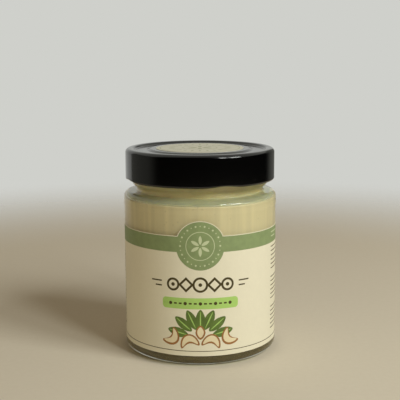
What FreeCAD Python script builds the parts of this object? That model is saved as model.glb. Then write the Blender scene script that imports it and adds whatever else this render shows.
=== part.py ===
import FreeCAD, Part
import math
import os
from FreeCAD import Vector

# Cashew butter jar: a straight-sided glass jar with a short neck, filled with
# paste, closed by a four-lug twist-off metal cap, with a paper label round the
# body and a round paper label on the cap. Millimetres and degrees. The origin
# is the centre of the base, +Z is up and -Y is the front.

# Glass jar: body
body_radius = 35.0          # at the contact bands above and below the label
shoulder_height = 73.6      # where the side and the shoulder would meet
shoulder_radius = 2.7       # rounding between the side and the shoulder
shoulder_rise = 0.3         # how much the shoulder climbs towards the neck
wall = 2.4                  # body wall
heel_radius = 3.8           # rounding between the base and the side
heel_band = 0.85            # plain contact band above the heel
shoulder_band = 3.2         # plain contact band below the shoulder
panel_recess = 0.15         # label panel set back behind the contact bands
base_floor = 6.0            # height of the jar's inside floor
floor_corner_radius = 5.0   # inside, between the floor and the wall
ceiling_corner_radius = 1.2 # inside, between the wall and the shoulder
push_up = 2.2               # height of the hollow under the base
push_up_slope = 5.0         # sideways run of the hollow's edge
bearing_width = 4.6         # flat ring that the jar stands on

# Glass jar: neck and finish
finish_setback = 4.0        # the finish stands this far inside the body
finish_height = 17.4        # from the shoulder to the sealing lip
neck_groove = 1.9           # depth of the groove below the finish
neck_groove_height = 1.4    # straight part of the groove
neck_wall = 1.9             # wall at the groove
neck_fillet = 0.9
mouth_edge_radius = 1.6     # inside, where the shoulder turns into the bore
lip_radius = 1.4            # both edges of the sealing lip

# Thread ramps on the finish
lug_count = 4
first_lug_angle = -71.0     # just right of the front
ramp_projection = 1.4
ramp_root_height = 1.9
ramp_nose_height = 1.2
ramp_sweep = 66.0
ramp_lead_angle = 3.3
ramp_past_lug = 20.0        # from the lug's seat to the middle of its ramp
ramp_root_depth = 0.4       # how far each ramp runs into the finish wall

# Twist-off cap
cap_height = 14.35
cap_sheet = 0.25
cap_clearance = 0.25        # between the curled edge and the ramps
cap_crown_radius = 1.8
rim_rise = 1.0              # raised rim above the channel inside it
rim_width = 3.6             # from the cap's side to the top of the inner step
rim_step_run = 0.8          # sideways run of the inner step
rim_step_radius = 0.5
centre_rise = 0.65          # raised centre panel above the channel
centre_radius = 22.5
centre_slope_run = 1.8      # sideways run from the centre panel to the channel
centre_edge_radius = 1.5
curl_width = 1.5
curl_height = 2.0
curl_outer_radius = 1.0
curl_inner_radius = 0.45
edge_lift = 0.8             # the lower edge is pressed up at each lug
edge_lift_half_width = 9.5
lug_thickness = 0.9
lug_half_angle = 7.0
lug_reach_clearance = 0.35  # between a lug's tip and the finish wall
lug_ramp_clearance = 0.08   # between a lug's top and its ramp
lug_edge_radius = 0.3

# Seal compound in the cap
seal_over_lip = 0.75        # from the lip to the underside of the channel
seal_sink = 0.4             # the lip presses this far into the compound
seal_inner_margin = 0.6     # compound inside the bore edge of the lip
seal_outer_margin = 1.2     # compound outside the finish wall

# Contents
headspace = 8.0             # from the sealing lip down to the paste

# Paper labels
label_thickness = 0.12
label_bottom_margin = 0.6   # from the panel's lower edge to the label
badge_top_margin = 2.6      # from the label's round tab to the panel's top
badge_radius = 10.9         # round tab at the label's front
badge_rise = 6.6            # how far the tab stands above the label's top
label_gap = 4.0             # between the label's two ends, at the back
cap_label_radius = 20.0
cap_label_thickness = 0.12

# Worked out from the sizes above
panel_radius = body_radius - panel_recess
panel_bottom = heel_radius + heel_band
panel_top = shoulder_height - shoulder_radius - shoulder_band
cavity_radius = body_radius - wall
finish_radius = body_radius - finish_setback
neck_radius = finish_radius - neck_groove
bore_radius = neck_radius - neck_wall
neck_base = shoulder_height + shoulder_rise
ceiling_height = shoulder_height - wall
lip_height = shoulder_height + finish_height
ramp_radius = finish_radius + ramp_projection
curl_bore_radius = ramp_radius + cap_clearance
cap_radius = curl_bore_radius + curl_width
cap_channel = lip_height + seal_over_lip + cap_sheet
cap_panel = cap_channel + centre_rise
cap_top = cap_channel + rim_rise
cap_bottom = cap_top - cap_height
lug_low = cap_bottom + edge_lift
lug_top = lug_low + lug_thickness
fill_level = lip_height - headspace
label_bottom = panel_bottom + label_bottom_margin
badge_top = panel_top - badge_top_margin
label_top = badge_top - badge_rise
badge_centre = badge_top - badge_radius

UP = Vector(0, 0, 1)
ORIGIN = Vector(0, 0, 0)
RADIAL = Vector(1, 0, 0)


def corner_arc(before, corner, after, radius):
    """Return the two tangent points and the arc that rounds one corner."""
    to_before = (before - corner).normalize()
    to_after = (after - corner).normalize()
    half_angle = to_before.getAngle(to_after) / 2
    reach = radius / math.tan(half_angle)
    start = corner + to_before * reach
    end = corner + to_after * reach
    inward = (to_before + to_after).normalize()
    centre = corner + inward * (radius / math.sin(half_angle))
    middle = centre - inward * radius
    return start, end, Part.Arc(start, middle, end).toShape()


def rounded_edges(points, radii, closed):
    """Edges of a path in the XZ plane whose corners are rounded."""
    corners = [Vector(x, 0, z) for x, z in points]
    count = len(corners)
    edges = []
    starts = []
    ends = []
    for i, corner in enumerate(corners):
        rounded = radii[i] > 0 and (closed or 0 < i < count - 1)
        if rounded:
            after = corners[(i + 1) % count]
            start, end, arc = corner_arc(corners[i - 1], corner, after, radii[i])
        else:
            start, end, arc = corner, corner, None
        starts.append(start)
        ends.append(end)
        if i > 0:
            edges.append(Part.makeLine(ends[i - 1], start))
        if arc:
            edges.append(arc)
    if closed:
        edges.append(Part.makeLine(ends[-1], starts[0]))
    return edges


def revolved(points, radii, sweep=360.0):
    """Solid of revolution about Z of a closed section with rounded corners."""
    wire = Part.Wire(rounded_edges(points, radii, True))
    solid = Part.Face(wire).revolve(ORIGIN, UP, sweep)
    if solid.Volume < 0:
        solid.reverse()
    return solid


def offset_path(points, radii, distance):
    """Move an open path to its left by a distance, with its corner radii."""
    normals = []
    for (x0, z0), (x1, z1) in zip(points, points[1:]):
        length = math.hypot(x1 - x0, z1 - z0)
        normals.append(((z0 - z1) / length, (x1 - x0) / length))
    moved = []
    moved_radii = []
    for i, (x, z) in enumerate(points):
        before = normals[max(i - 1, 0)]
        after = normals[min(i, len(normals) - 1)]
        scale = distance / (1 + before[0] * after[0] + before[1] * after[1])
        moved.append((x + scale * (before[0] + after[0]), z + scale * (before[1] + after[1])))
        turn = before[0] * after[1] - before[1] * after[0]
        change = -distance if turn > 0 else distance
        moved_radii.append(radii[i] + change if radii[i] > 0 else 0)
    return moved, moved_radii


def around_lugs(shape, extra_angle=0.0):
    """One copy of a shape, made at azimuth 0, at every lug's azimuth."""
    copies = []
    for i in range(lug_count):
        copy = shape.copy()
        angle = first_lug_angle + extra_angle + i * 360.0 / lug_count
        copy.rotate(ORIGIN, UP, angle)
        copies.append(copy)
    return copies


def ring_segment(points, radii, half_angle, tilt, height):
    """Part of a ring, centred on azimuth 0 and tilted about its radius."""
    segment = revolved(points, radii, 2 * half_angle)
    segment.rotate(ORIGIN, UP, -half_angle)
    segment.rotate(Vector(0, 0, height), RADIAL, tilt)
    return segment


def cavity():
    """The space inside the glass, from its floor to the top of the lip."""
    points = [
        (0, base_floor),
        (cavity_radius, base_floor),
        (cavity_radius, ceiling_height),
        (bore_radius, ceiling_height + shoulder_rise),
        (bore_radius, lip_height),
        (0, lip_height),
    ]
    radii = [0, floor_corner_radius, ceiling_corner_radius, mouth_edge_radius, 0, 0]
    return revolved(points, radii)


def glass_outside():
    """The outer form of the glass, without its inside."""
    bearing_outer = body_radius - heel_radius
    points = [
        (0, push_up),
        (bearing_outer - bearing_width - push_up_slope, push_up),
        (bearing_outer - bearing_width, 0),
        (body_radius, 0),
        (body_radius, panel_bottom),
        (panel_radius, panel_bottom + panel_recess),
        (panel_radius, panel_top - panel_recess),
        (body_radius, panel_top),
        (body_radius, shoulder_height),
        (neck_radius, neck_base),
        (neck_radius, neck_base + neck_groove_height),
        (finish_radius, neck_base + neck_groove_height + neck_groove),
        (finish_radius, lip_height),
        (0, lip_height),
    ]
    radii = [0, 3.0, 1.0, heel_radius, 0, 0, 0, 0, shoulder_radius]
    radii += [neck_fillet, neck_fillet, neck_fillet, lip_radius, 0]
    return revolved(points, radii)


def lip_inner_edge():
    """The sliver of glass that rounding takes off the lip's inner edge."""
    points = [
        (bore_radius - 1, lip_height + 1),
        (bore_radius - 1, lip_height - lip_radius),
        (bore_radius, lip_height - lip_radius),
        (bore_radius, lip_height),
        (bore_radius + lip_radius, lip_height),
        (bore_radius + lip_radius, lip_height + 1),
    ]
    return revolved(points, [0, 0, 0, lip_radius * 0.98, 0, 0])


def thread_ramps():
    """Interrupted thread: one sloping ramp above each lug's seat."""
    seat_rise = ramp_radius * math.sin(math.radians(ramp_past_lug))
    seat_rise *= math.sin(math.radians(ramp_lead_angle))
    low = lug_top + lug_ramp_clearance + seat_rise
    nose_low = low + (ramp_root_height - ramp_nose_height) * 0.2
    root = finish_radius - ramp_root_depth
    points = [
        (root, low),
        (ramp_radius, nose_low),
        (ramp_radius, nose_low + ramp_nose_height),
        (root, low + ramp_root_height),
    ]
    ramp = ring_segment(points, [0, 0.3, 0.5, 0], ramp_sweep / 2, ramp_lead_angle, low)
    return around_lugs(ramp, ramp_past_lug)


def jar_glass():
    glass = glass_outside().cut(cavity())
    glass = glass.cut(lip_inner_edge())
    return glass.fuse(thread_ramps()).removeSplitter()


def cashew_butter():
    """Paste that fills the glass up to its level in the neck."""
    below_level = Part.makeCylinder(body_radius, fill_level)
    return cavity().common(below_level)


def cap_path():
    """The cap's outer face, from the centre of its panel to its lower edge."""
    step_top = cap_radius - rim_width
    points = [
        (0, cap_panel),
        (centre_radius, cap_panel),
        (centre_radius + centre_slope_run, cap_channel),
        (step_top - rim_step_run, cap_channel),
        (step_top, cap_top),
        (cap_radius, cap_top),
        (cap_radius, cap_bottom + curl_height / 2),
    ]
    radii = [0, centre_edge_radius, centre_edge_radius]
    radii += [rim_step_radius, rim_step_radius, cap_crown_radius, 0]
    return points, radii


def cap_shell():
    outer, outer_radii = cap_path()
    inner, inner_radii = offset_path(outer, outer_radii, -cap_sheet)
    points = outer + inner[::-1]
    radii = outer_radii + inner_radii[::-1]
    return revolved(points, radii)


def cap_inside():
    """The space under the cap, which its seal compound is laid in."""
    outer, outer_radii = cap_path()
    inner, inner_radii = offset_path(outer, outer_radii, -cap_sheet)
    points = inner + [(0, inner[-1][1])]
    return revolved(points, inner_radii + [0])


def cap_curl():
    """The rolled lower edge of the cap."""
    points = [
        (curl_bore_radius, cap_bottom),
        (cap_radius, cap_bottom),
        (cap_radius, cap_bottom + curl_height),
        (curl_bore_radius, cap_bottom + curl_height),
    ]
    return revolved(points, [curl_inner_radius, curl_outer_radius, 0, curl_inner_radius])


def cap_lugs():
    """Tabs that grip under the thread ramps, at the same slope."""
    tip = finish_radius + lug_reach_clearance
    root = cap_radius - cap_sheet
    points = [(tip, lug_low), (root, lug_low), (root, lug_top), (tip, lug_top)]
    radii = [lug_edge_radius, 0, 0, lug_edge_radius]
    lug = ring_segment(points, radii, lug_half_angle, ramp_lead_angle, lug_low)
    return around_lugs(lug)


def edge_lifts():
    """Shallow rounds that raise the cap's lower edge at each lug."""
    radius = (edge_lift_half_width ** 2 + edge_lift ** 2) / (2 * edge_lift)
    start = Vector(finish_radius, 0, lug_low - radius)
    lift = Part.makeCylinder(radius, cap_radius, start, RADIAL)
    return around_lugs(lift)


def cap():
    shell = cap_shell().fuse(cap_curl())
    shell = shell.cut(edge_lifts())
    return shell.fuse(cap_lugs()).removeSplitter()


def cap_seal():
    """Ring of sealing compound, with the glass lip pressed into it."""
    bottom = lip_height - seal_sink
    points = [
        (bore_radius - seal_inner_margin, bottom),
        (finish_radius + seal_outer_margin, bottom),
        (finish_radius + seal_outer_margin, cap_top),
        (bore_radius - seal_inner_margin, cap_top),
    ]
    ring = revolved(points, [0.3, 0.3, 0, 0])
    glass = glass_outside().cut(cavity()).cut(lip_inner_edge())
    return ring.common(cap_inside()).cut(glass)


def label_sheet(height, bottom):
    """A tube of label paper that lies on the jar's label panel."""
    outer = Part.makeCylinder(panel_radius + label_thickness, height, Vector(0, 0, bottom))
    inner = Part.makeCylinder(panel_radius, height, Vector(0, 0, bottom))
    return outer.cut(inner)


def wrap_label():
    """Body label: a wrapped sheet with a round tab at the top of its front."""
    sheet = label_sheet(label_top - label_bottom, label_bottom)
    gap = Part.makeBox(label_gap, body_radius, shoulder_height, Vector(-label_gap / 2, 0, 0))
    tab_start = Vector(0, 0, badge_centre)
    tab_area = Part.makeCylinder(badge_radius, 2 * body_radius, tab_start, Vector(0, -1, 0))
    tab = label_sheet(badge_top - badge_centre + badge_radius, badge_centre - badge_radius)
    return sheet.cut(gap).fuse(tab.common(tab_area)).removeSplitter()


def cap_label():
    return Part.makeCylinder(cap_label_radius, cap_label_thickness, Vector(0, 0, cap_panel))


NODES = {
    "jar_glass": jar_glass,
    "cashew_butter": cashew_butter,
    "cap": cap,
    "cap_seal": cap_seal,
    "wrap_label": wrap_label,
    "cap_label": cap_label,
}


def main():
    os.makedirs("parts", exist_ok=True)
    for name, make in NODES.items():
        shape = make()
        solids = shape.Solids
        solid = solids[0] if len(solids) == 1 else shape
        box = solid.BoundBox
        print(name, "solids", len(solids), "valid", solid.isValid(), "volume", round(solid.Volume, 1))
        print("   z", round(box.ZMin, 2), round(box.ZMax, 2), "x", round(box.XMin, 2), round(box.XMax, 2))
        solid.exportStep("parts/" + name + ".step")


main()
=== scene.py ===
import math

import bmesh
import bpy
from bpy.props import FloatProperty, FloatVectorProperty, IntProperty, PointerProperty
from mathutils import Matrix, Vector


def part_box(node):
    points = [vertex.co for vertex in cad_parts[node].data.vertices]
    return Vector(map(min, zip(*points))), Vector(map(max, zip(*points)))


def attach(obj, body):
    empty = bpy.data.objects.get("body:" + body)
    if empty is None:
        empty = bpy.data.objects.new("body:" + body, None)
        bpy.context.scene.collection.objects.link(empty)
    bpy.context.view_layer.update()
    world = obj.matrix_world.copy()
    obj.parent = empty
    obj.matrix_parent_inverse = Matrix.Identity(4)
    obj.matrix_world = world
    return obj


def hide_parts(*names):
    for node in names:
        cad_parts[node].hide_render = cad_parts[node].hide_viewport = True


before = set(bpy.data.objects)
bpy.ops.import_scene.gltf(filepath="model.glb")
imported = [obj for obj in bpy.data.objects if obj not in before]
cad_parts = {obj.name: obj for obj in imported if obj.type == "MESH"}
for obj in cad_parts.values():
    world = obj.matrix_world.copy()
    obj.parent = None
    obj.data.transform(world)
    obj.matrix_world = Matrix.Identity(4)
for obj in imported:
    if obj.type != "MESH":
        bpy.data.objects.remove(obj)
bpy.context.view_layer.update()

bl_info = {
    "name": "Nut Butter Jar",
    "version": (1, 0, 0),
    "blender": (4, 5, 0),
    "location": "3D View > Sidebar > Jar",
    "description": "Dresses a packed jar of cashew paste with glass, paste, lid and labels",
    "category": "Object",
}

# All lengths are in metres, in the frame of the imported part: the origin is the
# centre of the base, +Z is up and -Y is the front of the label.
MM = 0.001
BODY = "root"

GLASS_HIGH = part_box("jar_glass")[1]
PASTE_LOW, PASTE_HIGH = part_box("cashew_butter")
CAP_LOW, CAP_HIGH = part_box("cap")
LABEL_LOW, LABEL_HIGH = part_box("wrap_label")
DISC_LOW, DISC_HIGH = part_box("cap_label")


# Sizes and colours that a user would change

def length(label, description, default):
    """A length that a user may change, in metres."""
    return FloatProperty(
        name=label,
        description=description,
        default=default,
        min=0.0,
        precision=5,
        subtype="DISTANCE",
        unit="LENGTH",
    )


def angle(label, description, degrees):
    """An angle that a user may change, given in degrees."""
    return FloatProperty(
        name=label,
        description=description,
        default=math.radians(degrees),
        subtype="ANGLE",
        unit="ROTATION",
    )


def linear(hex_colour):
    """Turn an sRGB hex colour into the linear colour that shaders read."""
    channels = [int(hex_colour[i:i + 2], 16) / 255 for i in (1, 3, 5)]
    return [c / 12.92 if c <= 0.04045 else ((c + 0.055) / 1.055) ** 2.4 for c in channels]


def colour(label, description, hex_colour):
    """A colour that a user may change, given as sRGB hex."""
    return FloatVectorProperty(
        name=label,
        description=description,
        default=linear(hex_colour),
        min=0.0,
        max=1.0,
        size=3,
        subtype="COLOR",
    )


class JarSizes(bpy.types.PropertyGroup):
    segments: IntProperty(
        name="Segments",
        description="Steps round the jar's circles",
        default=192,
        min=32,
    )
    body_radius: length("Body radius", "Glass at its contact bands", GLASS_HIGH.x)
    panel_recess: length("Panel recess", "Label panel behind the contact bands", 0.15 * MM)
    wall: length("Wall", "Glass wall of the body", 2.4 * MM)
    shoulder_height: length("Shoulder height", "Where side and shoulder would meet", 73.6 * MM)
    shoulder_radius: length("Shoulder rounding", "Between side and shoulder", 2.7 * MM)
    heel_radius: length("Heel rounding", "Between side and base", 3.8 * MM)
    finish_radius: length("Finish radius", "Glass wall inside the lid", 31.0 * MM)
    neck_radius: length("Neck radius", "Groove between shoulder and finish", 29.1 * MM)
    bore_radius: length("Bore radius", "Mouth of the glass", 27.2 * MM)
    lip_height: length("Lip height", "Top of the glass", GLASS_HIGH.z)
    cap_radius: length("Lid radius", "Outside of the lid's skirt", 34.15 * MM)
    cap_bottom: length("Lid bottom", "Lower edge of the lid", CAP_LOW.z)
    cap_top: length("Lid top", "Raised rim of the lid", CAP_HIGH.z)
    cap_panel: length("Lid panel", "Raised centre panel of the lid", DISC_LOW.z)
    cap_channel: length("Lid channel", "Channel inside the rim", CAP_HIGH.z - 1.0 * MM)
    lug_azimuth: angle("First lug", "First lug, to the right of the front", 19.0)
    lug_half_angle: angle("Lug half angle", "Half the sweep of a lug", 7.0)
    edge_lift: length("Edge lift", "How far the lower edge rises at each lug", 0.8 * MM)
    ramp_half_angle: angle("Ramp half angle", "Half the sweep of a thread ramp", 33.0)
    ramp_lead: angle("Ramp lead", "Slope of the thread ramps", 3.3)
    paste_level: length("Settled paste", "Where it meets the oily layer", 70.95 * MM)
    label_bottom: length("Label bottom", "Lower edge of the body label", LABEL_LOW.z)
    label_top: length("Label top", "Upper edge beside the round tab", 58.5 * MM)
    badge_radius: length("Tab radius", "Round tab at the label's front", 10.9 * MM)
    badge_top: length("Tab top", "Top of the round tab", LABEL_HIGH.z)
    band_bottom: length("Band bottom", "Lower edge of the printed band", 51.4 * MM)


class JarColours(bpy.types.PropertyGroup):
    glass: colour("Glass", "Clear container glass", "#F6FAF3")
    paste: colour("Paste", "Ground cashew paste", "#DBCCA7")
    # Its touch of olive is painted shade from the lid over the shoulder and neck
    oily_paste_painted_shade: colour("Oily paste", "Soft layer rich in oil, at the top", "#DACFA4")
    lacquer: colour("Lid lacquer", "Stoving lacquer on the lid", "#0A0A0B")
    seal: colour("Seal", "Sealing compound inside the lid", "#D8D4C8")
    paper: colour("Label paper", "Cream ground of the label", "#EAE5CE")
    lid_paper: colour("Lid paper", "Ground of the round lid label", "#DBD9C6")
    sage: colour("Band", "Printed band and tab", "#93A672")
    dark_ink: colour("Dark ink", "Strokes and rules", "#4A3F14")
    pale_ink: colour("Pale ink", "Line work on the tab", "#CBD6AE")
    leaf_ink: colour("Leaf ink", "Leaves of the printed picture", "#6F8A3C")
    kernel_ink: colour("Kernel ink", "Outlines of the printed kernels", "#A8743C")
    kernel_pale: colour("Kernel light", "Insides of the printed kernels", "#F0E2BC")
    pill: colour("Pill", "Light green bar", "#B0D873")
    lid_ink: colour("Lid ink", "Marks on the lid label", "#B4B795")


# Modelling by hand: a primitive is added, then shaped in edit mode

def start_piece():
    """Leave edit mode and deselect everything before a primitive is added."""
    if bpy.context.object and bpy.context.object.mode != "OBJECT":
        bpy.ops.object.mode_set(mode="OBJECT")
    bpy.ops.object.select_all(action="DESELECT")


def corner_reach(before, corner, after, rounding):
    """Distance from a corner to where its rounding begins."""
    to_before = (Vector(before) - Vector(corner)).normalized()
    to_after = (Vector(after) - Vector(corner)).normalized()
    return rounding / math.tan(to_before.angle(to_after) / 2)


def select_ring(piece, radius, height):
    """Select the edges of one circle of a turned piece."""
    near = 0.002 * MM
    bpy.ops.mesh.select_all(action="DESELECT")
    mesh = bmesh.from_edit_mesh(piece.data)
    for edge in mesh.edges:
        if all(
            abs(v.co.xy.length - radius) < near and abs(v.co.z - height) < near
            for v in edge.verts
        ):
            edge.select_set(True)
    bmesh.update_edit_mesh(piece.data)


def azimuth(point):
    """Angle of a point round the jar, from the front towards the right."""
    return math.atan2(point.x, -point.y)


def turn_between(a, b):
    """Smallest turn from azimuth b to azimuth a."""
    return (a - b + math.pi) % (2 * math.pi) - math.pi


def select_faces(piece, wanted):
    """Select the faces whose centre passes a test, and nothing else."""
    bpy.ops.mesh.select_all(action="DESELECT")
    mesh = bmesh.from_edit_mesh(piece.data)
    for face in mesh.faces:
        if wanted(face.calc_center_median()):
            face.select_set(True)
    bmesh.update_edit_mesh(piece.data)


def edit(piece):
    """Open one piece, and only that, in edit mode."""
    start_piece()
    piece.select_set(True)
    bpy.context.view_layer.objects.active = piece
    bpy.ops.object.mode_set(mode="EDIT")


def extrude_ring(old, new):
    """Extrude the selected circle to a new radius and height."""
    lift = (0, 0, new[1] - old[1])
    bpy.ops.mesh.extrude_region_move(TRANSFORM_OT_translate={"value": lift})
    scale = new[0] / old[0]
    bpy.ops.transform.resize(value=(scale, scale, 1), center_override=(0, 0, new[1]))


def turned_piece(name, outline, roundings, segments, steps=6):
    """Turn an outline of (radius, height) corners into a closed solid.

    The outline's two ends close on the axis, and each corner may be rounded.
    """
    start_piece()
    first = outline[0]
    bpy.ops.mesh.primitive_circle_add(
        vertices=segments, radius=first[0], location=(0, 0, first[1])
    )
    piece = bpy.context.object
    piece.name = name
    bpy.ops.object.transform_apply(location=True)
    bpy.ops.object.mode_set(mode="EDIT")
    bpy.ops.mesh.select_all(action="SELECT")
    bpy.ops.mesh.extrude_region_move()
    bpy.ops.mesh.merge(type="CENTER")
    select_ring(piece, *first)
    for old, new in zip(outline, outline[1:]):
        extrude_ring(old, new)
    bpy.ops.mesh.extrude_region_move()
    bpy.ops.mesh.merge(type="CENTER")
    on_axis = [(0, outline[0][1])] + list(outline) + [(0, outline[-1][1])]
    for i, rounding in enumerate(roundings):
        if rounding > 0:
            select_ring(piece, *outline[i])
            reach = corner_reach(on_axis[i], outline[i], on_axis[i + 2], rounding)
            bpy.ops.mesh.bevel(offset=reach, offset_type="OFFSET", segments=steps)
    close_surface()
    return piece


def close_surface():
    """Merge doubles, face everything outwards and leave edit mode."""
    bpy.ops.mesh.select_all(action="SELECT")
    bpy.ops.mesh.remove_doubles(threshold=1e-7)
    bpy.ops.mesh.normals_make_consistent(inside=False)
    bpy.ops.object.mode_set(mode="OBJECT")


def smooth(piece, degrees=None):
    """Shade smooth, letting large faces set the normals beside roundings."""
    bpy.context.view_layer.objects.active = piece
    piece.select_set(True)
    if degrees is None:
        bpy.ops.object.shade_smooth()
    else:
        bpy.ops.object.shade_smooth_by_angle(angle=math.radians(degrees))
    weighted = piece.modifiers.new("Even normals", "WEIGHTED_NORMAL")
    weighted.keep_sharp = True
    bpy.ops.object.modifier_apply(modifier=weighted.name)


def finish_piece(piece, material, slot, *replaced):
    """Dress a piece and hand it to the frame."""
    if not piece.data.polygons:
        raise RuntimeError(f"{piece.name} has no faces")
    piece.data.materials.clear()
    piece.data.materials.append(material)
    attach(piece, BODY)
    if replaced:
        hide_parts(*replaced)


# Materials

def add_node(tree, kind, settings=None, inputs=None):
    """Add a node, with its settings and with values or links for its inputs."""
    node = tree.nodes.new(kind)
    for key, value in (settings or {}).items():
        setattr(node, key, value)
    for key, value in (inputs or {}).items():
        if isinstance(value, bpy.types.NodeSocket):
            tree.links.new(value, node.inputs[key])
        else:
            node.inputs[key].default_value = value
    return node


def new_material(name):
    """A material, its empty node tree and its output node."""
    material = bpy.data.materials.new(name)
    material.use_nodes = True
    tree = material.node_tree
    tree.nodes.clear()
    return material, tree, add_node(tree, "ShaderNodeOutputMaterial")


def mottled(tree, place, size, detail, low, high):
    """Soft clouds of two tones, each about a size across: how far along the
    tones each point is, and its colour."""
    clouds = add_node(
        tree, "ShaderNodeTexNoise", inputs={"Vector": place, "Scale": 1 / size, "Detail": detail}
    )
    tones = add_node(
        tree,
        "ShaderNodeMix",
        {"data_type": "RGBA"},
        {"Factor": clouds.outputs["Fac"], "A": low, "B": high},
    )
    return clouds.outputs["Fac"], tones.outputs["Result"]


def speckled(tree, place, spacing, edge, strength, ground, speck):
    """The colour of a ground with round specks scattered over it at a spacing.
    A speck fades between two distances from its middle."""
    grains = add_node(tree, "ShaderNodeTexVoronoi", inputs={"Vector": place, "Scale": 1 / spacing})
    amount = add_node(
        tree,
        "ShaderNodeMapRange",
        inputs={
            "Value": grains.outputs["Distance"],
            "From Min": edge[0] / spacing,
            "From Max": edge[1] / spacing,
            "To Min": strength,
            "To Max": 0.0,
        },
    )
    mixed = add_node(
        tree,
        "ShaderNodeMix",
        {"data_type": "RGBA"},
        {"Factor": amount.outputs[0], "A": ground, "B": speck},
    )
    return mixed.outputs["Result"]


def rgba(values):
    """A colour with its alpha, as a socket takes it."""
    return (values[0], values[1], values[2], 1.0)


def flint_glass(colours):
    """Flint container glass, blown in a mould and fire-finished: clear, with a
    faint green cast where it is thick and shallow waves in its surface, about
    17 mm across."""
    material, tree, output = new_material("Flint container glass, blown")
    place = add_node(tree, "ShaderNodeTexCoord").outputs["Object"]
    waves = add_node(
        tree,
        "ShaderNodeTexNoise",
        inputs={"Vector": place, "Scale": 1 / (16.667 * MM), "Detail": 1.0},
    )
    relief = add_node(
        tree,
        "ShaderNodeBump",
        inputs={"Height": waves.outputs["Fac"], "Strength": 0.08, "Distance": 0.0005},
    )
    shader = add_node(
        tree,
        "ShaderNodeBsdfPrincipled",
        inputs={
            "Base Color": rgba(colours.glass),
            "Roughness": 0.0,
            "IOR": 1.52,
            "Transmission Weight": 1.0,
            "Normal": relief.outputs["Normal"],
        },
    )
    clear = add_node(tree, "ShaderNodeBsdfTransparent", inputs={"Color": rgba(colours.glass)})
    path = add_node(tree, "ShaderNodeLightPath")
    lets_light_in = add_node(
        tree,
        "ShaderNodeMath",
        {"operation": "MAXIMUM"},
        {0: path.outputs["Is Shadow Ray"], 1: path.outputs["Is Diffuse Ray"]},
    )
    mix = add_node(
        tree,
        "ShaderNodeMixShader",
        inputs={
            0: lets_light_in.outputs[0],
            1: shader.outputs[0],
            2: clear.outputs[0],
        },
    )
    tree.links.new(mix.outputs[0], output.inputs["Surface"])
    return material


def shade(values, factor):
    """A lighter or darker tone of a colour."""
    return rgba([min(c * factor, 1.0) for c in values])


def nut_paste(colours):
    """Stone-ground cashew paste: smooth, oily and slightly translucent, with
    soft vertical streaks about 2.5 mm wide where it ran down the glass, and
    specks of ground skin about half a millimetre across."""
    material, tree, output = new_material("Cashew paste, stone ground")
    place = add_node(tree, "ShaderNodeTexCoord").outputs["Object"]
    across, along = 2.5 * MM, 71.43 * MM
    stretch = add_node(
        tree,
        "ShaderNodeMapping",
        inputs={"Vector": place, "Scale": (1 / across, 1 / across, 1 / along)},
    )
    pale, dark, skin = (shade(colours.paste, tone) for tone in (1.14, 0.82, 0.45))
    streaks = mottled(tree, stretch.outputs[0], 1.0, 2.0, dark, pale)[1]
    ground = speckled(tree, place, 2.381 * MM, (0.1429 * MM, 0.381 * MM), 0.35, streaks, skin)
    shader = add_node(
        tree,
        "ShaderNodeBsdfPrincipled",
        inputs={
            "Base Color": ground,
            "Roughness": 0.45,
            "Subsurface Weight": 0.15,
            "Subsurface Radius": (0.004, 0.003, 0.0015),
            "Subsurface Scale": 0.5,
        },
    )
    tree.links.new(shader.outputs[0], output.inputs["Surface"])
    return material


def oily_paste_painted_shade(colours):
    """Soft paste rich in separated cashew oil, stirred to the top: about as light as
    the settled paste and a little more olive, an olive cast that is painted shade
    from the lid over the shoulder and neck. It is translucent, so that light
    spreads through it and its edges glow. Clouds of solids drift in it, 5 mm across."""
    material, tree, output = new_material("Cashew paste, oil rich, painted shade")
    place = add_node(tree, "ShaderNodeTexCoord").outputs["Object"]
    # Random clouds of two tones; the olive cast of the colour is painted shade from the lid
    dark, pale = (shade(colours.oily_paste_painted_shade, tone) for tone in (0.8, 1.15))
    clouds = mottled(tree, place, 5.0 * MM, 2.0, dark, pale)[1]
    shader = add_node(
        tree,
        "ShaderNodeBsdfPrincipled",
        inputs={
            "Base Color": clouds,
            "Roughness": 0.3,
            "Subsurface Weight": 0.8,
            "Subsurface Radius": (1.0, 0.75, 0.32),
            "Subsurface Scale": 0.003,
        },
    )
    tree.links.new(shader.outputs[0], output.inputs["Surface"])
    return material


DUST_GREY = (0.08, 0.08, 0.075, 1.0)


def gloss_lacquer(colours):
    """Stoved gloss lacquer on tinplate: deep black with a clean mirror gloss,
    an orange peel of about 3 mm and a little dust in the film."""
    material, tree, output = new_material("Stoved gloss lacquer on tinplate")
    place = add_node(tree, "ShaderNodeTexCoord").outputs["Object"]
    peel = add_node(
        tree,
        "ShaderNodeTexNoise",
        inputs={"Vector": place, "Scale": 1 / (2.857 * MM), "Detail": 1.0},
    )
    relief = add_node(
        tree,
        "ShaderNodeBump",
        inputs={"Height": peel.outputs["Fac"], "Strength": 0.05, "Distance": 0.0002},
    )
    black = shade(colours.lacquer, 0.4)
    film = speckled(tree, place, 5.556 * MM, (0.1111 * MM, 0.2778 * MM), 0.5, black, DUST_GREY)
    shader = add_node(
        tree,
        "ShaderNodeBsdfPrincipled",
        inputs={
            "Base Color": film,
            "Roughness": 0.12,
            "IOR": 1.6,
            "Normal": relief.outputs["Normal"],
        },
    )
    tree.links.new(shader.outputs[0], output.inputs["Surface"])
    return material


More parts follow.
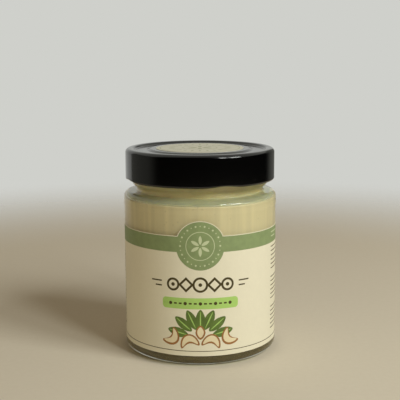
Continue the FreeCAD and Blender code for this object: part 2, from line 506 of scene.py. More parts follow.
def sealing_compound(colours):
    """Plastisol sealing compound, cured in the lid: a soft matt cream with a
    fine pebbled skin, each pebble about half a millimetre."""
    material, tree, output = new_material("Plastisol compound, oven cured")
    place = add_node(tree, "ShaderNodeTexCoord").outputs["Object"]
    dark, pale = (shade(colours.seal, tone) for tone in (0.9, 1.05))
    pebbles, tones = mottled(tree, place, 0.5 * MM, 2.0, dark, pale)
    relief = add_node(
        tree, "ShaderNodeBump", inputs={"Height": pebbles, "Strength": 0.2, "Distance": 0.0001}
    )
    shader = add_node(
        tree,
        "ShaderNodeBsdfPrincipled",
        inputs={"Base Color": tones, "Roughness": 0.6, "Normal": relief.outputs["Normal"]},
    )
    tree.links.new(shader.outputs[0], output.inputs["Surface"])
    return material


def coated_paper(name, base, mottle):
    """Coated label paper, offset printed: an even colour over fibres about a
    millimetre long, with the soft mottle, 3 mm across, of ink that sank
    unevenly into the coating."""
    material, tree, output = new_material(name)
    place = add_node(tree, "ShaderNodeTexCoord").outputs["Object"]
    dark, pale, sunk = (shade(base, tone) for tone in (0.95, 1.05, 1.0 - 2 * mottle))
    fibre, tones = mottled(tree, place, 1.111 * MM, 4.0, dark, pale)
    ink = mottled(tree, place, 3.0303 * MM, 3.0, tones, sunk)[1]
    relief = add_node(
        tree, "ShaderNodeBump", inputs={"Height": fibre, "Strength": 0.1, "Distance": 0.0001}
    )
    shader = add_node(
        tree,
        "ShaderNodeBsdfPrincipled",
        inputs={"Base Color": ink, "Roughness": 0.55, "Normal": relief.outputs["Normal"]},
    )
    tree.links.new(shader.outputs[0], output.inputs["Surface"])
    return material


# Pieces

# The glass that the paste fits: how much the shoulder climbs to the neck, and
# the roundings inside, at the mouth and at the floor
SHOULDER_RISE = 0.3 * MM
MOUTH_ROUNDING = 1.6 * MM
FLOOR_ROUNDING = 5.0 * MM

# The interrupted thread, at the middle of each ramp
RAMP_LOW = 81.07 * MM
RAMP_HEIGHT = 1.9 * MM
RAMP_OUT = 1.4 * MM
RAMP_PAST_LUG = math.radians(20)
RAMP_FACE = 0.63            # height of a ramp's face, as a share of its root
RAMP_FACE_LOW = 0.38 * MM   # level it narrows towards, above the ramp's low edge

# Where the lugs leave the rolled edge, above the lid's lower edge
LUG_LOW = 0.5 * MM
LUG_HIGH = 1.4 * MM


def raise_ramps(piece, s):
    """Extrude four thread ramps from the finish wall and slope them."""
    edit(piece)
    just_inside = s.finish_radius - 0.1 * MM
    near = 0.01 * MM
    near_turn = 0.01
    scale = (s.finish_radius + RAMP_OUT) / s.finish_radius
    for i in range(4):
        middle = s.lug_azimuth + RAMP_PAST_LUG + i * math.pi / 2

        def on_ramp(centre):
            return (
                centre.xy.length > just_inside
                and RAMP_LOW < centre.z < RAMP_LOW + RAMP_HEIGHT
                and abs(turn_between(azimuth(centre), middle)) < s.ramp_half_angle
            )

        select_faces(piece, on_ramp)
        bpy.ops.mesh.extrude_region_move()
        bpy.ops.transform.resize(
            value=(scale, scale, RAMP_FACE), center_override=(0, 0, RAMP_LOW + RAMP_FACE_LOW)
        )
        mesh = bmesh.from_edit_mesh(piece.data)
        for vertex in mesh.verts:
            turn = turn_between(azimuth(vertex.co), middle)
            radius = vertex.co.xy.length
            if (
                radius > just_inside
                and RAMP_LOW - near < vertex.co.z < RAMP_LOW + RAMP_HEIGHT + near
                and abs(turn) < s.ramp_half_angle + near_turn
            ):
                vertex.co.z += radius * math.sin(turn) * math.sin(s.ramp_lead)
        bmesh.update_edit_mesh(piece.data)
    close_surface()


class JAR_OT_glass(bpy.types.Operator):
    """Model the glass jar, from its push-up base to its sealing lip"""

    bl_idname = "jar.glass"
    bl_label = "Glass"

    def execute(self, context):
        s = context.scene.jar_sizes
        panel = s.body_radius - s.panel_recess
        cavity = s.body_radius - s.wall
        push_up = 2.2 * MM
        push_up_slope = 5.0 * MM
        bearing_width = 4.6 * MM
        heel_band = 0.85 * MM
        shoulder_band = 3.2 * MM
        groove_height = 1.4 * MM
        groove_radius = 0.9 * MM
        lip_radius = 1.4 * MM
        bearing_in = s.body_radius - s.heel_radius - bearing_width
        panel_low = s.heel_radius + heel_band
        panel_high = s.shoulder_height - s.shoulder_radius - shoulder_band
        neck_base = s.shoulder_height + SHOULDER_RISE
        groove_top = neck_base + groove_height
        finish_base = groove_top + s.finish_radius - s.neck_radius
        ceiling = s.shoulder_height - s.wall
        # Radius, height and rounding of each corner, outwards from the base
        # and back in over the lip to the floor inside
        corners = [
            (bearing_in - push_up_slope, push_up, 3.0 * MM),
            (bearing_in, 0, 1.0 * MM),
            (s.body_radius, 0, s.heel_radius),
            (s.body_radius, panel_low, 0),
            (panel, panel_low + s.panel_recess, 0),
            (panel, panel_high - s.panel_recess, 0),
            (s.body_radius, panel_high, 0),
            (s.body_radius, s.shoulder_height, s.shoulder_radius),
            (s.neck_radius, neck_base, groove_radius),
            (s.neck_radius, groove_top, groove_radius),
            (s.finish_radius, finish_base, groove_radius),
            (s.finish_radius, RAMP_LOW, 0),
            (s.finish_radius, RAMP_LOW + RAMP_HEIGHT, 0),
            (s.finish_radius, s.lip_height, lip_radius),
            (s.bore_radius, s.lip_height, lip_radius),
            (s.bore_radius, ceiling + SHOULDER_RISE, MOUTH_ROUNDING),
            (cavity, ceiling, 1.2 * MM),
            (cavity, PASTE_LOW.z, FLOOR_ROUNDING),
        ]
        outline = [c[:2] for c in corners]
        roundings = [c[2] for c in corners]
        piece = turned_piece("jar_glass_form", outline, roundings, s.segments)
        raise_ramps(piece, s)
        smooth(piece)
        finish_piece(piece, flint_glass(context.scene.jar_colours), "jar_glass", "jar_glass")
        return {"FINISHED"}


class JAR_OT_paste(bpy.types.Operator):
    """Model the settled paste and the oily layer above it, reaching just into
    the glass so that no gap shows"""

    bl_idname = "jar.paste"
    bl_label = "Paste"

    def execute(self, context):
        s = context.scene.jar_sizes
        colours = context.scene.jar_colours
        reach = 0.05 * MM
        edge_rounding = 0.7 * MM
        flat_edge = 1.6 * MM
        radius = s.body_radius - s.wall + reach
        bore = s.bore_radius + reach
        ceiling = s.shoulder_height - s.wall + reach
        outline = [
            (radius, PASTE_LOW.z - reach),
            (radius, s.paste_level),
            (radius - flat_edge, s.paste_level),
        ]
        roundings = [FLOOR_ROUNDING, edge_rounding, 0]
        settled = turned_piece("paste_settled", outline, roundings, s.segments)
        smooth(settled, 40)
        finish_piece(settled, nut_paste(colours), "cashew_butter", "cashew_butter")
        # The soft layer dips into the settled paste, inside its rounded edge,
        # and its surface sinks a little away from the glass of the mouth
        inset = 0.35 * MM
        dip = 0.02 * MM
        sink_width = 0.8 * MM
        sink = 0.25 * MM
        outline = [
            (radius - inset, s.paste_level - dip),
            (radius - inset, ceiling),
            (bore, ceiling + SHOULDER_RISE),
            (bore, PASTE_HIGH.z),
            (bore - sink_width, PASTE_HIGH.z - sink),
        ]
        roundings = [0, 0.3 * MM, MOUTH_ROUNDING, 0, 0]
        soft = turned_piece("paste_oily_painted_shade", outline, roundings, s.segments)
        smooth(soft, 40)
        finish_piece(soft, oily_paste_painted_shade(colours), "cashew_butter", "cashew_butter")
        return {"FINISHED"}


class JAR_OT_cap(bpy.types.Operator):
    """Model the twist-off lid with its rim, channel, centre panel and lugs"""

    bl_idname = "jar.cap"
    bl_label = "Lid"

    def execute(self, context):
        s = context.scene.jar_sizes
        sheet = 0.25 * MM
        curl_height = 2.0 * MM
        centre_radius = 22.5 * MM
        centre_slope = 1.8 * MM
        centre_rounding = 1.5 * MM
        rim_width = 3.6 * MM
        rim_slope = 0.8 * MM
        rim_rounding = 1.2 * MM
        inner_shift = 0.15 * MM
        curl_in = s.cap_radius - 1.5 * MM
        curl_top = s.cap_bottom + curl_height
        skirt_in = s.cap_radius - sheet
        channel_in = centre_radius + centre_slope
        rim_in = s.cap_radius - rim_width
        channel_out = rim_in - rim_slope
        # Radius, height and rounding of each corner, outwards over the top,
        # round the rolled edge and back along the inside
        corners = [
            (centre_radius, s.cap_panel, centre_rounding),
            (channel_in, s.cap_channel, centre_rounding),
            (channel_out, s.cap_channel, rim_rounding),
            (rim_in, s.cap_top, rim_rounding),
            (s.cap_radius, s.cap_top, 1.8 * MM),
            (s.cap_radius, s.cap_bottom, 1.0 * MM),
            (curl_in, s.cap_bottom, 0.45 * MM),
            (curl_in, s.cap_bottom + LUG_LOW, 0),
            (curl_in, s.cap_bottom + LUG_HIGH, 0),
            (curl_in, curl_top, 0.4 * MM),
            (skirt_in, curl_top, 0),
            (skirt_in, s.cap_top - sheet, 1.5 * MM),
            (rim_in + inner_shift, s.cap_top - sheet, 1.0 * MM),
            (channel_out + inner_shift, s.cap_channel - sheet, 1.0 * MM),
            (channel_in, s.cap_channel - sheet, centre_rounding),
            (centre_radius, s.cap_panel - sheet, centre_rounding),
        ]
        outline = [c[:2] for c in corners]
        roundings = [c[2] for c in corners]
        piece = turned_piece("lid_form", outline, roundings, s.segments)
        press_lugs(piece, s, curl_in, curl_top)
        smooth(piece)
        finish_piece(piece, gloss_lacquer(context.scene.jar_colours), "cap", "cap")
        return {"FINISHED"}


def press_lugs(piece, s, bore, curl_top):
    """Press four lugs inwards from the curl, which lifts the lower edge."""
    edit(piece)
    lug_clearance = 0.35 * MM
    near = 0.03 * MM
    lift_half_angle = math.radians(1.5)
    wave_reach = 9.5 * MM
    scale = (s.finish_radius + lug_clearance) / bore
    for i in range(4):
        middle = s.lug_azimuth + i * math.pi / 2

        def on_lug(centre):
            return (
                abs(centre.xy.length - bore) < near
                and s.cap_bottom + LUG_LOW < centre.z < s.cap_bottom + LUG_HIGH
                and abs(turn_between(azimuth(centre), middle)) < s.lug_half_angle
            )

        select_faces(piece, on_lug)
        bpy.ops.mesh.extrude_region_move()
        bpy.ops.transform.resize(value=(scale, scale, 1), center_override=(0, 0, 0))
        bpy.ops.mesh.select_all(action="DESELECT")
        mesh = bmesh.from_edit_mesh(piece.data)
        for vertex in mesh.verts:
            turn = turn_between(azimuth(vertex.co), middle)
            if vertex.co.z < curl_top + 0.01 * MM and abs(turn) < lift_half_angle:
                vertex.select_set(True)
        bmesh.update_edit_mesh(piece.data)
        bpy.ops.transform.resize(
            value=(1, 1, 1 - s.edge_lift / (curl_top - s.cap_bottom)),
            center_override=(0, 0, curl_top),
            use_proportional_edit=True,
            proportional_edit_falloff="SMOOTH",
            proportional_size=wave_reach,
        )
    close_surface()


def cut_into_strips(piece, width):
    """Bisect a flat shape into upright strips, so that it can bend."""
    xs = [v.co.x for v in piece.data.vertices]
    bpy.ops.object.mode_set(mode="EDIT")
    count = int((max(xs) - min(xs)) / width)
    for i in range(1, count + 1):
        bpy.ops.mesh.select_all(action="SELECT")
        x = min(xs) + (max(xs) - min(xs)) * i / (count + 1)
        bpy.ops.mesh.bisect(plane_co=(x, 0, 0), plane_no=(1, 0, 0))
    bpy.ops.object.mode_set(mode="OBJECT")


def wrap(piece, radius, height):
    """Bend a flat upright shape round the jar, and raise it by a height."""
    for vertex in piece.data.vertices:
        turn = vertex.co.x / radius
        depth = radius - vertex.co.y
        vertex.co = (depth * math.sin(turn), -depth * math.cos(turn), vertex.co.z + height)


def thicken(piece, thickness):
    """Give a wrapped sheet its thickness, outwards."""
    bpy.context.view_layer.objects.active = piece
    solid = piece.modifiers.new("Thickness", "SOLIDIFY")
    solid.thickness = thickness
    solid.offset = 1.0
    bpy.ops.object.modifier_apply(modifier=solid.name)


def band_piece(name, radius, thickness, low, high, half_gap, segments):
    """A sheet wrapped round the jar, open by a gap at the back."""
    start_piece()
    width = 2 * (math.pi - half_gap) * radius
    bpy.ops.mesh.primitive_grid_add(
        x_subdivisions=segments, y_subdivisions=1, size=1, rotation=(math.pi / 2, 0, 0)
    )
    piece = bpy.context.object
    piece.name = name
    piece.scale = (width, high - low, 1)
    bpy.ops.object.transform_apply(rotation=True, scale=True)
    wrap(piece, radius, (low + high) / 2)
    thicken(piece, thickness)
    return piece


def start_print(name):
    """An empty flat piece, open in edit mode, to stamp shapes into."""
    start_piece()
    bpy.ops.mesh.primitive_plane_add(size=MM, rotation=(math.pi / 2, 0, 0))
    piece = bpy.context.object
    piece.name = name
    bpy.ops.object.transform_apply(rotation=True)
    bpy.ops.object.mode_set(mode="EDIT")
    bpy.ops.mesh.select_all(action="SELECT")
    bpy.ops.mesh.delete(type="VERT")
    return piece


def stamp_disc(x, z, radius, vertices=20):
    """Add a filled circle to the flat piece that is open."""
    bpy.ops.mesh.select_all(action="DESELECT")
    bpy.ops.mesh.primitive_circle_add(
        vertices=vertices,
        radius=radius,
        fill_type="NGON",
        location=(x, 0, z),
        rotation=(math.pi / 2, 0, 0),
    )


def stamp_ring(x, z, radius, stroke, vertices=48, stretch=(1, 1)):
    """An outlined circle, or with four vertices an outlined diamond."""
    stamp_disc(x, z, radius, vertices)
    bpy.ops.transform.resize(value=(stretch[0], 1, stretch[1]), center_override=(x, 0, z))
    bpy.ops.mesh.inset(thickness=stroke, depth=0)
    bpy.ops.mesh.delete(type="FACE")


def stamp_bar(x, z, width, height):
    """Add a filled rectangle to the flat piece that is open."""
    bpy.ops.mesh.select_all(action="DESELECT")
    bpy.ops.mesh.primitive_plane_add(size=1, location=(x, 0, z), rotation=(math.pi / 2, 0, 0))
    bpy.ops.transform.resize(value=(width, 1, height), center_override=(x, 0, z))


def stamp_leaf(piece, x, z, long, wide, turn, reach=0.0, vertices=16, bend=0.0):
    """A pointed leaf that leans to the right by a turn, its middle at a reach
    from the given point. A bend bows it like a kernel, which has blunt ends."""
    blunt, pointed, bend_middle = 0.7, 0.35, 0.3
    cx = x + reach * math.sin(turn)
    cz = z + reach * math.cos(turn)
    stamp_disc(cx, cz, long / 2, vertices)
    mesh = bmesh.from_edit_mesh(piece.data)
    new = [v for v in mesh.verts if v.select]
    for vertex in new:
        up = vertex.co.z - cz
        along = up / (long / 2)
        taper = 1 + blunt * along * along if bend else 1 - pointed * along * along
        side = (vertex.co.x - cx) * (wide / long) * taper + bend * (bend_middle - along * along)
        vertex.co = (
            cx + side * math.cos(turn) + up * math.sin(turn),
            0,
            cz - side * math.sin(turn) + up * math.cos(turn),
        )
    bmesh.update_edit_mesh(piece.data)


def finish_print(piece, material, radius, thickness):
    """Wrap the stamped shapes round the jar, thicken them and dress them."""
    bpy.ops.object.mode_set(mode="OBJECT")
    cut_into_strips(piece, STRIP_WIDTH)
    wrap(piece, radius, 0)
    thicken(piece, thickness)
    finish_piece(piece, material, "wrap_label")


# The label: flat shapes are bent in strips, and each layer of ink stands a
# little further off the glass than what it is printed over
STRIP_WIDTH = 1.0 * MM
HALF_GAP = 2.0 * MM
PAPER_OFF = 0.01 * MM
PAPER_THICK = 0.09 * MM
GROUND_OFF = 0.102 * MM
OVER_GROUND_OFF = 0.107 * MM
OVER_BAR_OFF = 0.112 * MM
OVER_TAB_OFF = 0.119 * MM
TOP_OFF = 0.122 * MM
INK_THICK = 0.01 * MM
THIN_INK = 0.008 * MM

# Levels of the printed rows
PILL_LEVEL = 28.85 * MM
MOTIF_LEVEL = 37.2 * MM
FAN_LEVEL = 13.4 * MM
RULE_LEVEL = 7.45 * MM


def label_sheets(s, colours, panel):
    """The paper itself: the wrapped sheet and the round tab at its front."""
    paper = coated_paper("Coated label paper, cream", colours.paper, 0.02)
    radius = panel + PAPER_OFF
    sheet = band_piece(
        "label_sheet",
        radius,
        PAPER_THICK,
        s.label_bottom,
        s.label_top,
        HALF_GAP / panel,
        s.segments,
    )
    finish_piece(sheet, paper, "wrap_label", "wrap_label")
    tab = start_print("label_tab")
    stamp_disc(0, s.badge_top - s.badge_radius, s.badge_radius, 96)
    finish_print(tab, paper, radius, PAPER_THICK)


def label_grounds(s, colours, panel):
    """Printed grounds: the band, the round tab's face and the pill."""
    margin = 0.3 * MM
    sage = coated_paper("Offset ink, sage", colours.sage, 0.16)
    band = band_piece(
        "print_band",
        panel + GROUND_OFF,
        INK_THICK,
        s.band_bottom,
        s.label_top - margin,
        HALF_GAP / panel,
        s.segments,
    )
    finish_piece(band, sage, "wrap_label")
    face = start_print("print_tab")
    stamp_disc(0, s.badge_top - s.badge_radius, s.badge_radius - margin, 96)
    finish_print(face, sage, panel + OVER_GROUND_OFF, INK_THICK)
    corner, half_width, half_height = 1.5 * MM, 17.0 * MM, 2.45 * MM
    pill = start_print("print_pill")
    stamp_bar(0, PILL_LEVEL, 2 * (half_width - corner), 2 * half_height)
    for side in (-1, 1):
        middle = side * (half_width - corner / 2)
        stamp_bar(middle, PILL_LEVEL, corner, 2 * (half_height - corner))
        for end in (-1, 1):
            level = PILL_LEVEL + end * (half_height - corner)
            stamp_disc(side * (half_width - corner), level, corner)
    green = coated_paper("Offset ink, fresh green", colours.pill, 0.05)
    finish_print(pill, green, panel + GROUND_OFF, THIN_INK)


def dark_motifs(panel):
    """A rule round the jar's foot, and a row of rings and diamonds between
    short bars."""
    rule_gap = 5.0 * MM
    stamp_bar(0, RULE_LEVEL, 2 * math.pi * panel - rule_gap, 0.3 * MM)
    row = ((-12.0, 48, 2.9), (-6.2, 4, 3.4), (0.0, 48, 3.4), (6.2, 4, 3.4), (12.0, 48, 2.9))
    for x, vertices, radius in row:
        stamp_ring(x * MM, MOTIF_LEVEL, radius * MM, 0.95 * MM, vertices)
    for x in (-12.0, 0.0, 12.0):
        stamp_disc(x * MM, MOTIF_LEVEL, 0.8 * MM)
    for side in (-1, 1):
        stamp_bar(side * 20.0 * MM, MOTIF_LEVEL + 1.1 * MM, 5.2 * MM, 0.6 * MM)
        stamp_bar(side * 19.0 * MM, MOTIF_LEVEL - 1.0 * MM, 3.2 * MM, 0.6 * MM)


def label_lines(s, colours, panel):
    """Line work: rules and motifs in dark ink, and pale marks on the band."""
    ink = coated_paper("Offset ink, dark olive", colours.dark_ink, 0.1)
    dark = start_print("print_dark")
    dark_motifs(panel)
    note_bars()
    plain_table()
    finish_print(dark, ink, panel + GROUND_OFF, INK_THICK)
    dots = start_print("print_pill_marks")
    marks, pitch = 13, 2.2 * MM
    for i in range(marks):
        x = (i - marks // 2) * pitch
        if i % 3 == 0:
            stamp_disc(x, PILL_LEVEL, 0.75 * MM)
        else:
            stamp_bar(x, PILL_LEVEL, 1.3 * MM, 0.7 * MM)
    finish_print(dots, ink, panel + OVER_BAR_OFF, THIN_INK)
    light = coated_paper("Offset ink, pale sage", colours.pale_ink, 0.05)
    pale = start_print("print_pale")
    tab_marks(pale, s.badge_top - s.badge_radius)
    for x, z, width in ((44.5, 56.2, 9.0), (43.0, 54.3, 6.0)):
        stamp_bar(x * MM, z * MM, width * MM, 0.5 * MM)
    finish_print(pale, light, panel + OVER_TAB_OFF, INK_THICK)


def tab_marks(piece, middle):
    """A ring with a circle of beads round it and six petals in it."""
    beads, bead_reach = 28, 8.7 * MM
    stamp_ring(0, middle, 6.3 * MM, 0.3 * MM, 64)
    for i in range(beads):
        turn = i * 2 * math.pi / beads
        size = 0.42 * MM if i % 2 else 0.26 * MM
        x = bead_reach * math.sin(turn)
        stamp_disc(x, middle + bead_reach * math.cos(turn), size, 10)
    for i in range(6):
        stamp_leaf(piece, 0, middle, 3.9 * MM, 1.5 * MM, i * math.pi / 3, 2.6 * MM, 12)


def note_bars():
    """Plain bars for the small print at the right, with a gap every seventh."""
    left, top, pitch = 40.0 * MM, 49.5 * MM, 2.0 * MM
    lengths = (21.0, 24.0, 22.5, 17.0, 23.0)
    for i in range(21):
        long = lengths[i % len(lengths)] * MM
        if i % 7 != 6:
            stamp_bar(left + long / 2, top - i * pitch, long, 0.42 * MM)


def plain_table():
    """A ruled frame at the left, with a short and a shorter bar on each row."""
    left, low, wide, high = -74.0 * MM, 12.0 * MM, 26.0 * MM, 34.0 * MM
    rows, above_rule = 9, 1.7 * MM
    for z in (low, low + high):
        stamp_bar(left + wide / 2, z, wide, 0.3 * MM)
    for x in (left, left + wide):
        stamp_bar(x, low + high / 2, 0.3 * MM, high)
    for i in range(1, rows):
        z = low + high * i / rows
        step = i % 3
        stamp_bar(left + wide / 2, z, wide - 2.0 * MM, 0.15 * MM)
        stamp_bar(left + (4.5 + step) * MM, z + above_rule, (6.0 + 2 * step) * MM, 0.5 * MM)
        stamp_bar(left + wide - 3.5 * MM, z + above_rule, 3.0 * MM, 0.5 * MM)


def label_picture(colours, panel):
    """A plain picture in line with the front: a fan of leaves over kernels."""
    turns = [math.radians(turn) for turn in (-76, -50, -25, 0, 25, 50, 76)]
    leaf = coated_paper("Offset ink, leaf green", colours.leaf_ink, 0.3)
    vein = coated_paper("Offset ink, vein green", colours.pill, 0.1)
    for name, ink, long, wide, off in (
        ("print_leaves", leaf, 9.6 * MM, 4.3 * MM, GROUND_OFF),
        ("print_veins", vein, 8.2 * MM, 0.5 * MM, OVER_GROUND_OFF),
    ):
        piece = start_print(name)
        for turn in turns:
            reach = (8.0 + 2.2 * abs(math.sin(turn))) * MM
            stamp_leaf(piece, 0, FAN_LEVEL, long, wide, turn, reach)
        finish_print(piece, ink, panel + off, INK_THICK)
    # The bowed kernels, by place, lean and side, with an upright one amid them
    bowed = (
        (-12.4, 13.0, 40, 1),
        (-5.0, 12.2, 78, -1),
        (5.0, 12.2, -78, 1),
        (12.4, 13.0, -40, -1),
    )
    tan = coated_paper("Offset ink, roasted tan", colours.kernel_ink, 0.15)
    cream = coated_paper("Offset ink, light cream", colours.kernel_pale, 0.06)
    # Lift, length, width and bow of the bowed ones, and the upright one's own
    for name, ink, off, thick, lift, long, wide, bow, upright in (
        ("print_kernels", tan, OVER_BAR_OFF, INK_THICK, 0, 8.6, 4.2, 3.0, (15.9, 6.4, 4.4)),
        ("print_kernel_lights", cream, TOP_OFF, THIN_INK, 0.15, 7.2, 2.7, 2.8, (16.0, 4.8, 2.9)),
    ):
        piece = start_print(name)
        for x, z, lean, side in bowed:
            place = (x * MM, (z + lift) * MM)
            size = (long * MM, wide * MM)
            stamp_leaf(piece, *place, *size, math.radians(lean), 0, 24, side * bow * MM)
        stamp_leaf(piece, 0, *(value * MM for value in upright), 0)
        finish_print(piece, ink, panel + off, thick)


class JAR_OT_label(bpy.types.Operator):
    """Model the wrapped paper label, its round tab and its plain prints"""

    bl_idname = "jar.label"
    bl_label = "Body label"

    def execute(self, context):
        s = context.scene.jar_sizes
        colours = context.scene.jar_colours
        panel = s.body_radius - s.panel_recess
        label_sheets(s, colours, panel)
        label_grounds(s, colours, panel)
        label_lines(s, colours, panel)
        label_picture(colours, panel)
        return {"FINISHED"}


class JAR_OT_cap_label(bpy.types.Operator):
    """Model the round paper label on the lid, with its ring and faint marks"""

    bl_idname = "jar.cap_label"
    bl_label = "Lid label"

    def execute(self, context):
        s = context.scene.jar_sizes
        colours = context.scene.jar_colours
        radius = DISC_HIGH.x
        outline = [(radius, DISC_LOW.z), (radius, DISC_HIGH.z)]
        piece = turned_piece("lid_label", outline, [0, 0], s.segments)
        smooth(piece, 30)
        paper = coated_paper("Coated label paper, lid", colours.lid_paper, 0.04)
        finish_piece(piece, paper, "cap_label", "cap_label")
        marks = start_print("lid_label_print")
        stamp_ring(0, 0, radius - 1.6 * MM, 0.35 * MM, 96)
        stamp_ring(0, 0, 8.0 * MM, 0.3 * MM, 64)
        rays = 24
        for i in range(rays):
            turn = i * 2 * math.pi / rays
            stamp_leaf(marks, 0, 0, 3.2 * MM, 1.0 * MM, turn, 13.0 * MM, 10)
        for i in range(6):
            stamp_leaf(marks, 0, 0, 5.0 * MM, 2.0 * MM, i * math.pi / 3, 3.9 * MM, 12)
        bpy.ops.object.mode_set(mode="OBJECT")
        marks.rotation_euler = (-math.pi / 2, 0, 0)
        marks.location = (0, 0, DISC_HIGH.z + 0.002 * MM)
        marks.select_set(True)
        bpy.ops.object.transform_apply(location=True, rotation=True)
        thicken(marks, INK_THICK)
        ink = coated_paper("Offset ink, faint sage", colours.lid_ink, 0.1)
        finish_piece(marks, ink, "cap_label")
        return {"FINISHED"}


class JAR_OT_seal(bpy.types.Operator):
    """Give the sealing compound inside the lid its finish"""

    bl_idname = "jar.seal"
    bl_label = "Seal"

    def execute(self, context):
        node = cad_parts["cap_seal"]
        node.data.materials.clear()
        node.data.materials.append(sealing_compound(context.scene.jar_colours))
        return {"FINISHED"}


class JAR_OT_stage(bpy.types.Operator):
    """Set up the floor, the soft light, the backdrop and the camera"""

    bl_idname = "jar.stage"
    bl_label = "Stage"

    def execute(self, context):
        scene = context.scene
        floor_piece()
        dark_flag()
        window_lights()
        pale_world(scene)
        main_camera(scene)
        scene.view_settings.view_transform = "Standard"
        return {"FINISHED"}


# The stage, in metres: how far the floor and the reflected room reach, and
# where the floor fades out
FLOOR_RADIUS = 0.6
FADE_START, FADE_END = 0.22, 0.55
ROOM_RADIUS = 1.3
WALL_LOW, WALL_HIGH = -0.9, 0.7
WALL_START, WALL_END = math.radians(-129), math.radians(166)


def floor_piece():
    """A pale round floor whose edge fades into the backdrop."""
    start_piece()
    bpy.ops.mesh.primitive_circle_add(vertices=96, radius=FLOOR_RADIUS, fill_type="NGON")
    floor = bpy.context.object
    floor.name = "floor"
    material, tree, output = new_material("Pale matt board")
    place = add_node(tree, "ShaderNodeTexCoord").outputs["Object"]
    dark, pale = (rgba(linear(tone)) for tone in ("#DDD3C0", "#E3DAC8"))
    pulp = mottled(tree, place, 2.5 * MM, 3.0, dark, pale)[1]
    board = add_node(
        tree, "ShaderNodeBsdfPrincipled", inputs={"Base Color": pulp, "Roughness": 0.8}
    )
    distance = add_node(tree, "ShaderNodeVectorMath", {"operation": "LENGTH"}, {0: place})
    fade = add_node(
        tree,
        "ShaderNodeMapRange",
        {"interpolation_type": "SMOOTHSTEP"},
        {"Value": distance.outputs["Value"], "From Min": FADE_START, "From Max": FADE_END},
    )
    clear = add_node(tree, "ShaderNodeBsdfTransparent")
    mix = add_node(
        tree,
        "ShaderNodeMixShader",
        inputs={0: fade.outputs[0], 1: board.outputs[0], 2: clear.outputs[0]},
    )
    tree.links.new(mix.outputs[0], output.inputs["Surface"])
    floor.data.materials.append(material)


def drape(name, far_grey, near_grey, left_fade, right_fade):
    """Hung cloth that is seen only in reflections: its weave of about 3 mm
    breaks its tone. It is near_grey at the front and far_grey at the back of
    the room, and fades from one to the other between two values of Y, which
    are given for the left and for the right."""
    material, tree, output = new_material(name)
    place = add_node(tree, "ShaderNodeTexCoord").outputs["Object"]
    parts = add_node(tree, "ShaderNodeSeparateXYZ", inputs={0: place})
    left, right = (
        add_node(
            tree,
            "ShaderNodeMapRange",
            {"interpolation_type": "SMOOTHSTEP"},
            {"Value": parts.outputs["Y"], "From Min": start, "From Max": end},
        )
        for start, end in (left_fade, right_fade)
    )
    side = add_node(
        tree, "ShaderNodeMath", {"operation": "GREATER_THAN"}, {0: parts.outputs["X"], 1: 0.0}
    )
    turn = add_node(
        tree,
        "ShaderNodeMix",
        {"data_type": "FLOAT"},
        {"Factor": side.outputs[0], "A": left.outputs[0], "B": right.outputs[0]},
    )
    tone, deep = shade(near_grey, 1.2), shade(near_grey, 0.8)
    weave = mottled(tree, place, 3.333 * MM, 2.0, deep, tone)[1]
    tones = add_node(
        tree,
        "ShaderNodeMix",
        {"data_type": "RGBA"},
        {"Factor": turn.outputs["Result"], "A": weave, "B": rgba(far_grey)},
    )
    glow = add_node(
        tree, "ShaderNodeEmission", inputs={"Color": tones.outputs["Result"], "Strength": 1.0}
    )
    tree.links.new(glow.outputs[0], output.inputs["Surface"])
    material.cycles.emission_sampling = "NONE"
    return material


def dark_flag():
    """A drape round the room that is dark at the front, which keeps the front
    of the gloss lid black, and a ceiling that pales towards the back. Only
    reflections see them."""
    start_piece()
    bpy.ops.mesh.primitive_cylinder_add(
        vertices=96,
        radius=ROOM_RADIUS,
        depth=WALL_HIGH - WALL_LOW,
        end_fill_type="NOTHING",
        location=(0, 0, (WALL_LOW + WALL_HIGH) / 2),
    )
    flag = bpy.context.object
    flag.name = "dark_flag"
    bpy.ops.object.transform_apply(location=True)
    edit(flag)
    select_faces(flag, lambda centre: not WALL_START <= azimuth(centre) <= WALL_END)
    bpy.ops.mesh.delete(type="FACE")
    bpy.ops.object.mode_set(mode="OBJECT")
    grey, black = (0.19, 0.19, 0.165), (0.002, 0.002, 0.002)
    flag.data.materials.append(drape("Grey drape", grey, black, (-0.62, -0.05), (0.6, 1.0)))
    start_piece()
    bpy.ops.mesh.primitive_circle_add(
        vertices=96, radius=ROOM_RADIUS, fill_type="NGON", location=(0, 0, WALL_HIGH)
    )
    ceiling = bpy.context.object
    ceiling.name = "ceiling"
    bpy.ops.object.transform_apply(location=True)
    pale, dark, fade = (0.6, 0.6, 0.54), (0.01, 0.01, 0.01), (-0.55, -0.15)
    ceiling.data.materials.append(drape("Pale ceiling cloth", pale, dark, fade, fade))
    for card in (flag, ceiling):
        card.visible_camera = False
        card.visible_diffuse = False
        card.visible_transmission = False
        card.visible_shadow = False


def window_lights():
    """Two tall soft windows side by side, to the front right."""
    # Name, degrees to the right of the front, width and power
    windows = (("window_near", 36.5, 0.17, 3.4), ("window_far", 57.0, 0.33, 5.6))
    rise = math.radians(36)
    distance, window_height = 1.1, 0.5
    aim = Vector((0, 0, 0.05))
    daylight = (0.955, 0.985, 0.95)
    for name, degrees, width, power in windows:
        turn = math.radians(degrees)
        away = Vector(
            (math.sin(turn) * math.cos(rise), -math.cos(turn) * math.cos(rise), math.sin(rise))
        )
        bpy.ops.object.light_add(type="AREA", location=away * distance + aim)
        light = bpy.context.object
        light.name = name
        light.data.shape = "RECTANGLE"
        light.data.size = width
        light.data.size_y = window_height
        light.data.energy = power
        light.data.color = daylight
        light.rotation_euler = away.to_track_quat("Z", "Y").to_euler()


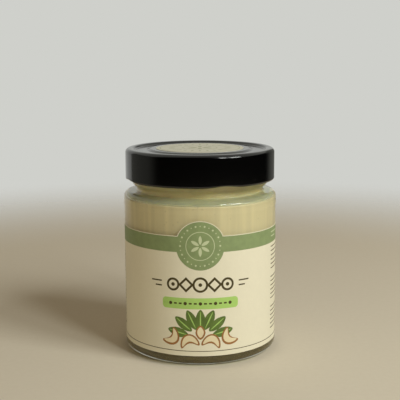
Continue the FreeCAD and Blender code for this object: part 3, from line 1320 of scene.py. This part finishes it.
def pale_world(scene):
    """Warm room light, brightest at the horizon, and a pale wall for what is
    seen directly, in a reflection or through the glass."""
    world = bpy.data.worlds.new("Room")
    scene.world = world
    world.use_nodes = True
    tree = world.node_tree
    tree.nodes.clear()
    warm = (1.0, 0.82, 0.56, 1.0)
    output = add_node(tree, "ShaderNodeOutputWorld")
    direction = add_node(tree, "ShaderNodeTexCoord")
    parts = add_node(tree, "ShaderNodeSeparateXYZ", inputs={0: direction.outputs["Generated"]})
    strength = add_node(
        tree,
        "ShaderNodeMapRange",
        inputs={"Value": parts.outputs["Z"], "From Min": 0.0, "From Max": 0.9,
                "To Min": 0.52, "To Max": 0.12},
    )
    room = add_node(
        tree, "ShaderNodeBackground", inputs={"Color": warm, "Strength": strength.outputs[0]}
    )
    wall = add_node(
        tree, "ShaderNodeBackground", inputs={"Color": rgba(linear("#CFD0CB")), "Strength": 1.0}
    )
    path = add_node(tree, "ShaderNodeLightPath")
    seen = path.outputs["Is Camera Ray"]
    for ray in ("Is Glossy Ray", "Is Transmission Ray"):
        seen = add_node(
            tree, "ShaderNodeMath", {"operation": "MAXIMUM"}, {0: seen, 1: path.outputs[ray]}
        ).outputs[0]
    mix = add_node(
        tree, "ShaderNodeMixShader", inputs={0: seen, 1: room.outputs[0], 2: wall.outputs[0]}
    )
    tree.links.new(mix.outputs[0], output.inputs["Surface"])


def main_camera(scene):
    """A camera just above the lid, looking slightly down at the jar."""
    data = bpy.data.cameras.new("camera")
    data.lens = 77.79
    data.sensor_width = 36.0
    camera = bpy.data.objects.new("camera", data)
    scene.collection.objects.link(camera)
    pitch = math.radians(9.536)
    roll = math.radians(0.208)
    place = Matrix.Translation((0.0, -0.3949, 0.13473))
    camera.matrix_world = (
        place @ Matrix.Rotation(math.pi / 2 - pitch, 4, "X") @ Matrix.Rotation(-roll, 4, "Z")
    )
    scene.camera = camera


class JAR_PT_panel(bpy.types.Panel):
    """Lists the jar's pieces in the sidebar"""

    bl_label = "Jar"
    bl_idname = "JAR_PT_panel"
    bl_space_type = "VIEW_3D"
    bl_region_type = "UI"
    bl_category = "Jar"

    def draw(self, context):
        for operator in OPERATORS:
            self.layout.operator(operator.bl_idname)
        for group in (context.scene.jar_sizes, context.scene.jar_colours):
            for key in group.__annotations__:
                self.layout.prop(group, key)


GROUPS = (JarSizes, JarColours)
OPERATORS = (
    JAR_OT_glass,
    JAR_OT_paste,
    JAR_OT_cap,
    JAR_OT_seal,
    JAR_OT_label,
    JAR_OT_cap_label,
    JAR_OT_stage,
)


def register():
    """Add the jar's operators, its panel and its settings to Blender."""
    for cls in GROUPS + OPERATORS + (JAR_PT_panel,):
        bpy.utils.register_class(cls)
    bpy.types.Scene.jar_sizes = PointerProperty(type=JarSizes)
    bpy.types.Scene.jar_colours = PointerProperty(type=JarColours)


def unregister():
    """Take them away again."""
    del bpy.types.Scene.jar_colours
    del bpy.types.Scene.jar_sizes
    for cls in (JAR_PT_panel,) + OPERATORS[::-1] + GROUPS[::-1]:
        bpy.utils.unregister_class(cls)


def main():
    """Build the jar and its stage."""
    register()
    bpy.ops.jar.glass()
    bpy.ops.jar.paste()
    bpy.ops.jar.cap()
    bpy.ops.jar.seal()
    bpy.ops.jar.label()
    bpy.ops.jar.cap_label()
    bpy.ops.jar.stage()


if __name__ == "__main__":
    main()
